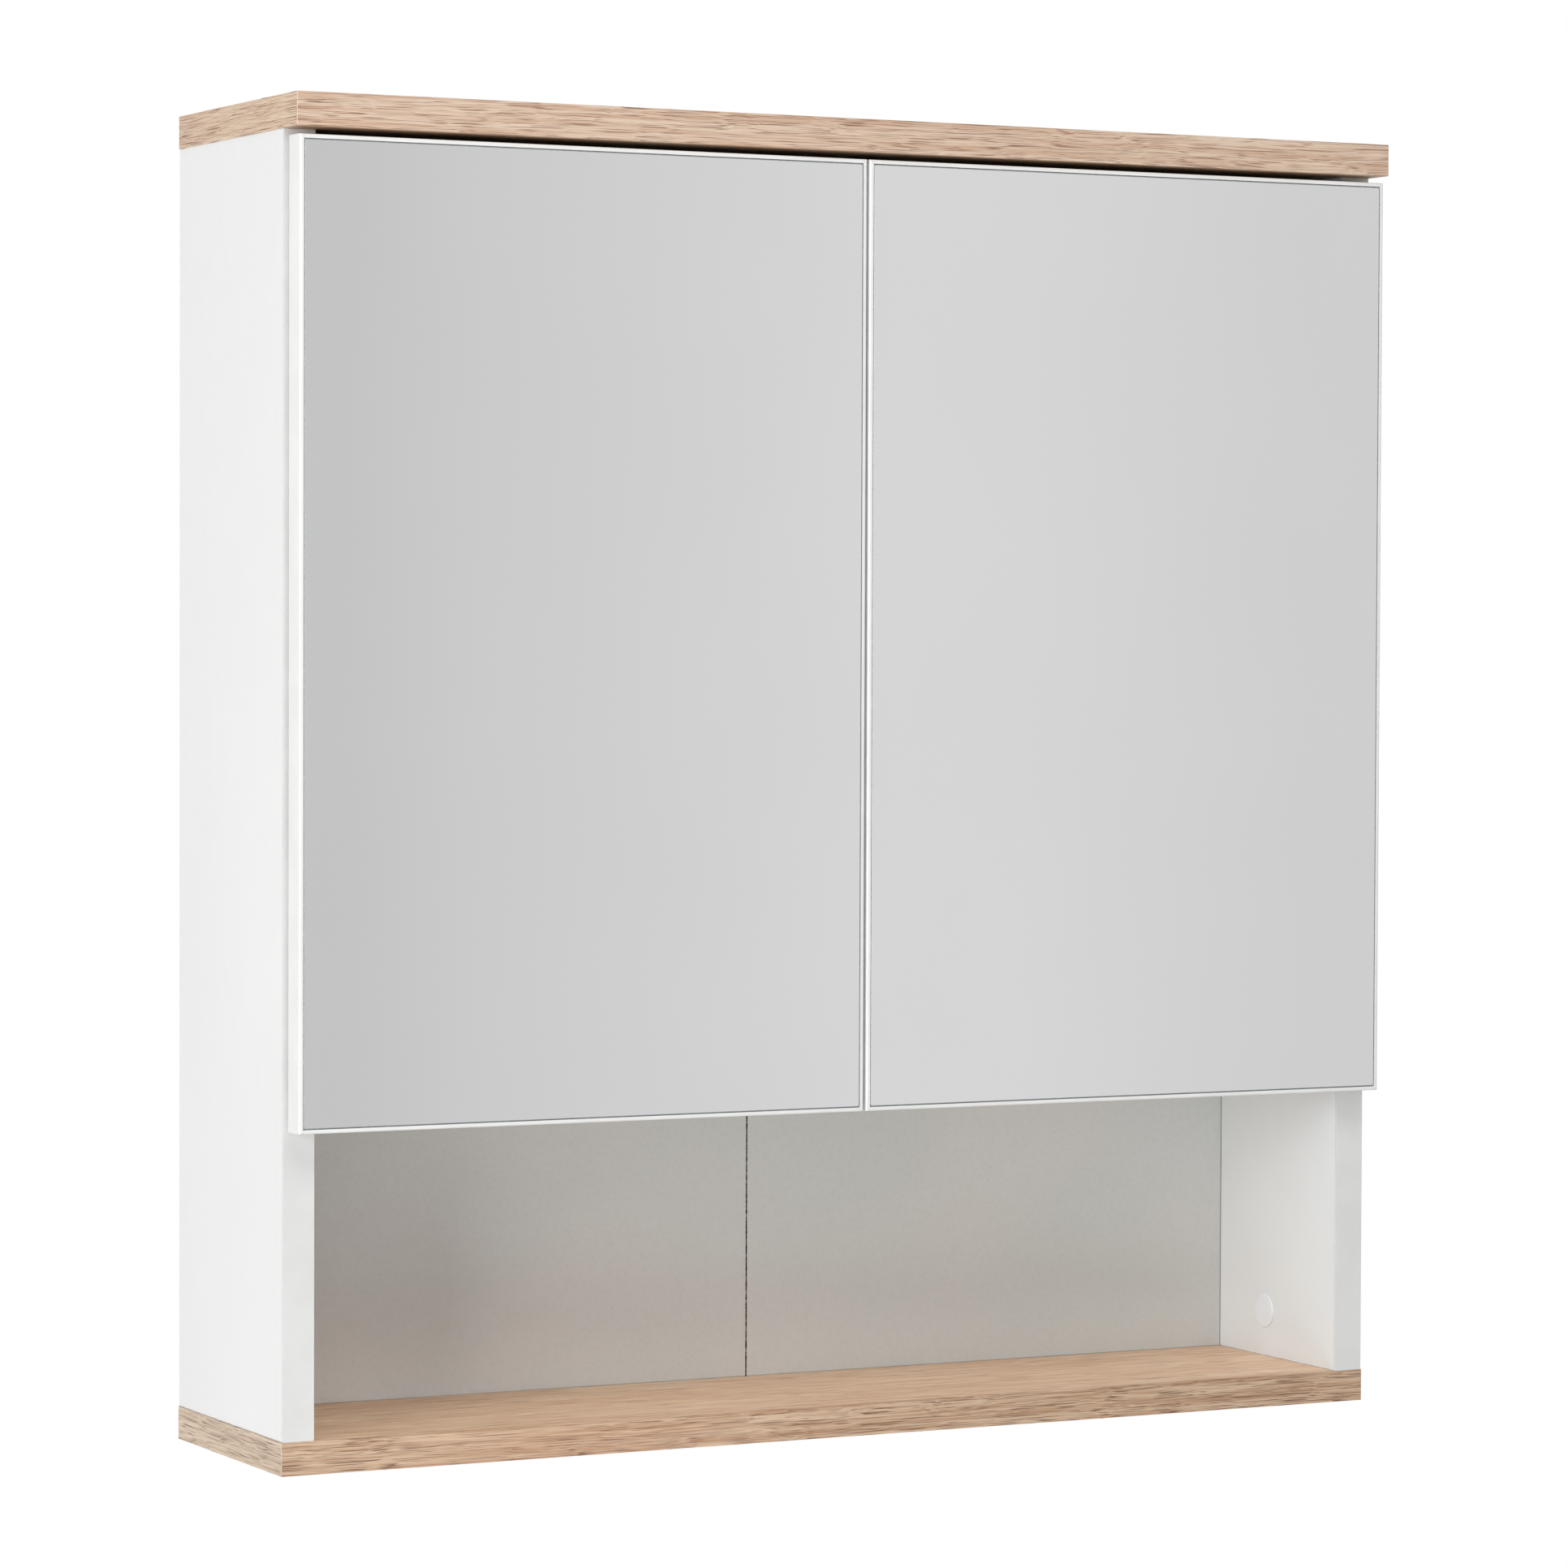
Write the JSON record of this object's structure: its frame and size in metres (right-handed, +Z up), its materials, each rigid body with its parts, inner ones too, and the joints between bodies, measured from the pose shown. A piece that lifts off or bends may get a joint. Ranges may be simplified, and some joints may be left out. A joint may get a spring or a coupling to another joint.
{
  "type": "hanging wall cabinet",
  "caption": "Hanging bathroom wall cabinet with mirror doors on concealed hinges, shelves behind them and an open niche below, oak-look top and bottom boards.",
  "frame": {"origin": "on the wall plane, midway between the two wall hook slots", "axes": "+X to the viewer's right, the front faces -Y, the wall is at +Y, +Z up"},
  "size_m": [0.601, 0.154, 0.648],
  "materials": {
    "oak_board": "oak foil on melamine board, satin",
    "oak_edge_band": "oak foil edge band, satin",
    "mirror_glass": "silvered float glass",
    "white_thick_band": "satin white",
    "white_door_board": "white melamine, satin",
    "clear_bumper": "translucent silicone",
    "white_hardboard": "white lacquered hardboard",
    "fold_tape": "matt tape",
    "white_edge_band": "satin white",
    "white_board": "white melamine board, satin",
    "white_plastic": "satin white",
    "zinc_cam": "die-cast zinc, dull",
    "beech_dowel": "plain beech",
    "nickel_pin": "nickel-plated",
    "zinc_plated_sheet": "zinc-plated",
    "nickel_plated_steel": "nickel-plated",
    "steel_fastener": "zinc-plated"
  },
  "bodies": {
    "cabinet": {"back_fold_tape": "fold_tape", "back_panel_left": "white_hardboard", "back_panel_right": "white_hardboard", "bottom_board": "oak_board", "bottom_board_bands": "oak_edge_band", "cabinet_floor": "white_board", "cabinet_floor_band": "white_edge_band", "cam_bolts_bottom": "steel_fastener", "cam_bolts_floor": "steel_fastener", "cam_bolts_top": "steel_fastener", "cam_caps_bottom": "white_plastic", "cam_caps_floor": "white_plastic", "cam_caps_top": "white_plastic", "cam_housings_bottom": "zinc_cam", "cam_housings_floor": "zinc_cam", "cam_housings_top": "zinc_cam", "dowels_bottom": "beech_dowel", "dowels_floor": "beech_dowel", "dowels_top": "beech_dowel", "hinge_arm_left_lower": "nickel_plated_steel", "hinge_arm_left_upper": "nickel_plated_steel", "hinge_arm_right_lower": "nickel_plated_steel", "hinge_arm_right_upper": "nickel_plated_steel", "hinge_arm_screws": "steel_fastener", "hinge_plate_left_lower": "nickel_plated_steel", "hinge_plate_left_upper": "nickel_plated_steel", "hinge_plate_right_lower": "nickel_plated_steel", "hinge_plate_right_upper": "nickel_plated_steel", "hinge_plate_screws": "steel_fastener", "shelf_bands": "white_edge_band", "shelf_lower": "white_board", "shelf_pins_lower": "nickel_pin", "shelf_pins_upper": "nickel_pin", "shelf_upper": "white_board", "side_panel_bands": "white_edge_band", "side_panel_left": "white_board", "side_panel_right": "white_board", "top_board": "oak_board", "top_board_bands": "oak_edge_band", "wall_hanger_left": "zinc_plated_sheet", "wall_hanger_right": "zinc_plated_sheet", "wall_hanger_screws": "steel_fastener"},
    "door_left": {"door_bands_left": "white_thick_band", "door_bumpers_left": "clear_bumper", "door_core_left": "white_door_board", "door_mirror_left": "mirror_glass", "hinge_cup_left_lower": "nickel_plated_steel", "hinge_cup_left_upper": "nickel_plated_steel", "hinge_cup_screws_left": "steel_fastener", "hinge_pins_left": "steel_fastener"},
    "door_right": {"door_bands_right": "white_thick_band", "door_bumpers_right": "clear_bumper", "door_core_right": "white_door_board", "door_mirror_right": "mirror_glass", "hinge_cup_right_lower": "nickel_plated_steel", "hinge_cup_right_upper": "nickel_plated_steel", "hinge_cup_screws_right": "steel_fastener", "hinge_pins_right": "steel_fastener"}
  },
  "joints": [
    {"name": "door_left_hinge", "type": "hinge", "parent": "cabinet", "child": "door_left", "pos_m": [-0.293, -0.1455, -0.1965], "axis": [0, 0, -1], "range_deg": [0, 95]},
    {"name": "door_right_hinge", "type": "hinge", "parent": "cabinet", "child": "door_right", "pos_m": [0.293, -0.1455, -0.1965], "axis": [0, 0, 1], "range_deg": [0, 95]}
  ]
}
